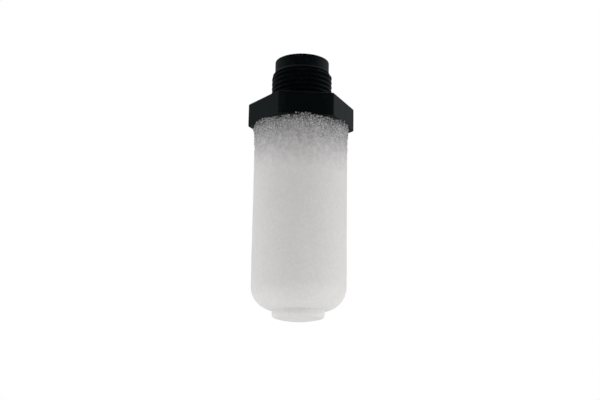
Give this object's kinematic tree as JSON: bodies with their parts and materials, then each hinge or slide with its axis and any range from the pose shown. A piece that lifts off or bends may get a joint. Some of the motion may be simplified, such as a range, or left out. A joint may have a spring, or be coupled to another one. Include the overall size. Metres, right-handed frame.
{
  "type": "pneumatic muffler",
  "caption": "Screw-in air exhaust silencer: black moulded hexagon body with male pipe thread and a white porous cup that lets the air out quietly.",
  "frame": {"origin": "on the thread's axis, on the hexagon's upper face, which is the face that meets the port", "axes": "+Z along the thread's axis, out of the nose and into the port; the muffler hangs along -Z. X and Y are across the axis; a corner of the hexagon lies 5.5 degrees from +X towards +Y"},
  "size_m": [0.029, 0.0266, 0.0722],
  "materials": {
    "moulded_body": "satin",
    "sintered_element": "matte"
  },
  "bodies": {
    "root": {"threaded_body": "moulded_body", "porous_element": "sintered_element"}
  },
  "joints": []
}
